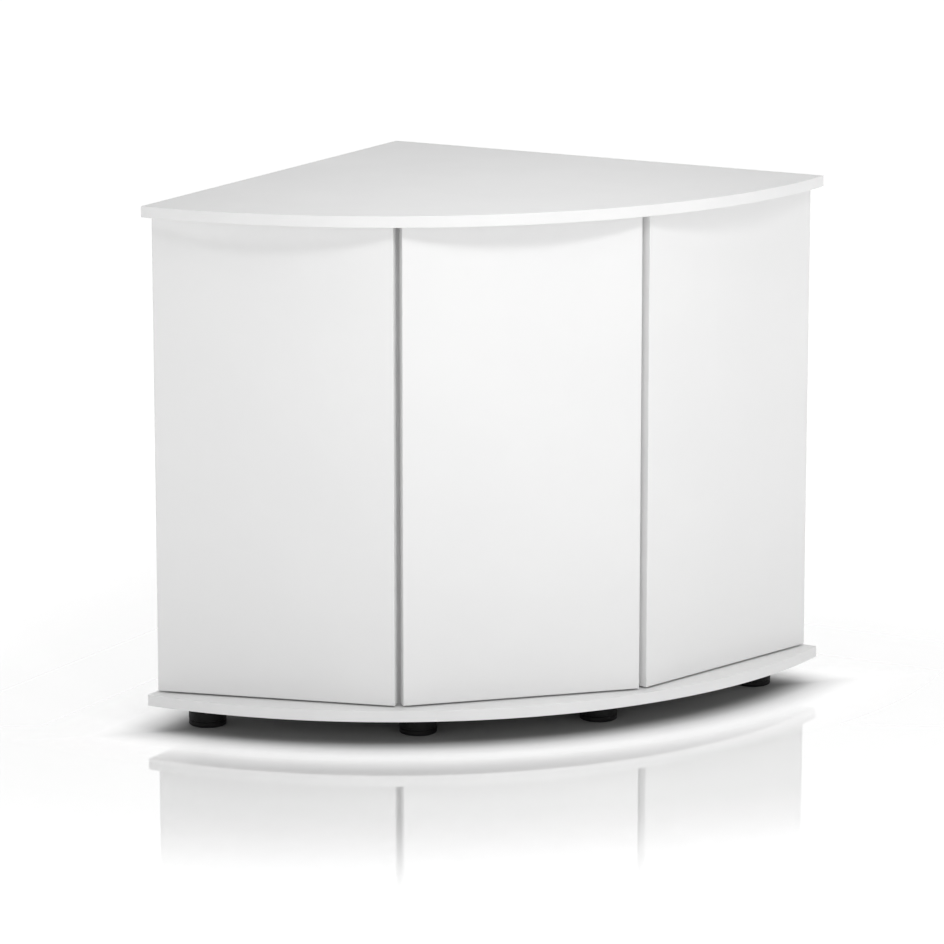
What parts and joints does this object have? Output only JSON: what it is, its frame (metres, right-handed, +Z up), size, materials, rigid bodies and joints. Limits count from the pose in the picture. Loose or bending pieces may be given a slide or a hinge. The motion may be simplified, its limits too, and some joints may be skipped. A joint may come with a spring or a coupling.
{
  "type": "aquarium stand cabinet",
  "caption": "Quarter-round white corner cabinet that carries an aquarium, with flat push-to-open hinged doors, partitions and black feet.",
  "frame": {"origin": "on the floor, under the middle of the bounding box", "axes": "+X to the cabinet's right seen from the front, -Y towards the front, +Z up"},
  "size_m": [0.985, 0.6966, 0.74],
  "materials": {
    "melamine": "white melamine-faced chipboard, fine satin",
    "foot": "black moulded plastic",
    "steel": "nickel-plated pressed steel",
    "zinc": "die-cast zinc",
    "latch": "pale grey moulded plastic",
    "plunger": "grey moulded plastic"
  },
  "bodies": {
    "carcass": {"base_panel": "melamine", "top_panel": "melamine", "left_wall": "melamine", "left_partition": "melamine", "left_wall_cam_lower_rear": "zinc", "left_wall_cam_lower_front": "zinc", "left_partition_cam_lower": "zinc", "left_wall_cam_upper_rear": "zinc", "left_wall_cam_upper_front": "zinc", "left_partition_cam_upper": "zinc", "left_mid_foot": "foot", "left_outer_foot": "foot", "left_wall_foot": "foot", "right_wall": "melamine", "right_partition": "melamine", "right_wall_cam_lower_rear": "zinc", "right_wall_cam_lower_front": "zinc", "right_partition_cam_lower": "zinc", "right_wall_cam_upper_rear": "zinc", "right_wall_cam_upper_front": "zinc", "right_partition_cam_upper": "zinc", "right_mid_foot": "foot", "right_outer_foot": "foot", "right_wall_foot": "foot", "corner_foot": "foot", "left_hinge_lower_arm": "steel", "left_hinge_lower_plate": "steel", "left_hinge_upper_arm": "steel", "left_hinge_upper_plate": "steel", "left_latch_housing": "latch", "centre_hinge_lower_arm": "steel", "centre_hinge_lower_plate": "steel", "centre_hinge_upper_arm": "steel", "centre_hinge_upper_plate": "steel", "centre_latch_housing": "latch", "right_hinge_lower_arm": "steel", "right_hinge_lower_plate": "steel", "right_hinge_upper_arm": "steel", "right_hinge_upper_plate": "steel", "right_latch_housing": "latch"},
    "left_door": {"left_door": "melamine", "left_hinge_lower_cup": "steel", "left_hinge_lower_pin": "steel", "left_hinge_upper_cup": "steel", "left_hinge_upper_pin": "steel"},
    "left_plunger": {"left_latch_plunger": "plunger"},
    "centre_door": {"centre_door": "melamine", "centre_hinge_lower_cup": "steel", "centre_hinge_lower_pin": "steel", "centre_hinge_upper_cup": "steel", "centre_hinge_upper_pin": "steel"},
    "centre_plunger": {"centre_latch_plunger": "plunger"},
    "right_door": {"right_door": "melamine", "right_hinge_lower_cup": "steel", "right_hinge_lower_pin": "steel", "right_hinge_upper_cup": "steel", "right_hinge_upper_pin": "steel"},
    "right_plunger": {"right_latch_plunger": "plunger"}
  },
  "joints": [
    {"name": "left_door_hinge", "type": "hinge", "parent": "carcass", "child": "left_door", "pos_m": [-0.46486, -0.13391, 0.389], "axis": [0, 0, -1], "range_deg": [0, 95]},
    {"name": "centre_door_hinge", "type": "hinge", "parent": "carcass", "child": "centre_door", "pos_m": [-0.1615, -0.30174, 0.389], "axis": [0, 0, -1], "range_deg": [0, 95]},
    {"name": "right_door_hinge", "type": "hinge", "parent": "carcass", "child": "right_door", "pos_m": [0.46486, -0.13391, 0.389], "axis": [0, 0, 1], "range_deg": [0, 95]},
    {"name": "left_latch_push", "type": "slide", "parent": "carcass", "child": "left_plunger", "axis": [0.5, 0.866, 0], "range_m": [0, 0.003], "stiffness_N_per_m": 400},
    {"name": "centre_latch_push", "type": "slide", "parent": "carcass", "child": "centre_plunger", "axis": [0, 1, 0], "range_m": [0, 0.003], "stiffness_N_per_m": 400},
    {"name": "right_latch_push", "type": "slide", "parent": "carcass", "child": "right_plunger", "axis": [-0.5, 0.866, 0], "range_m": [0, 0.003], "stiffness_N_per_m": 400}
  ]
}
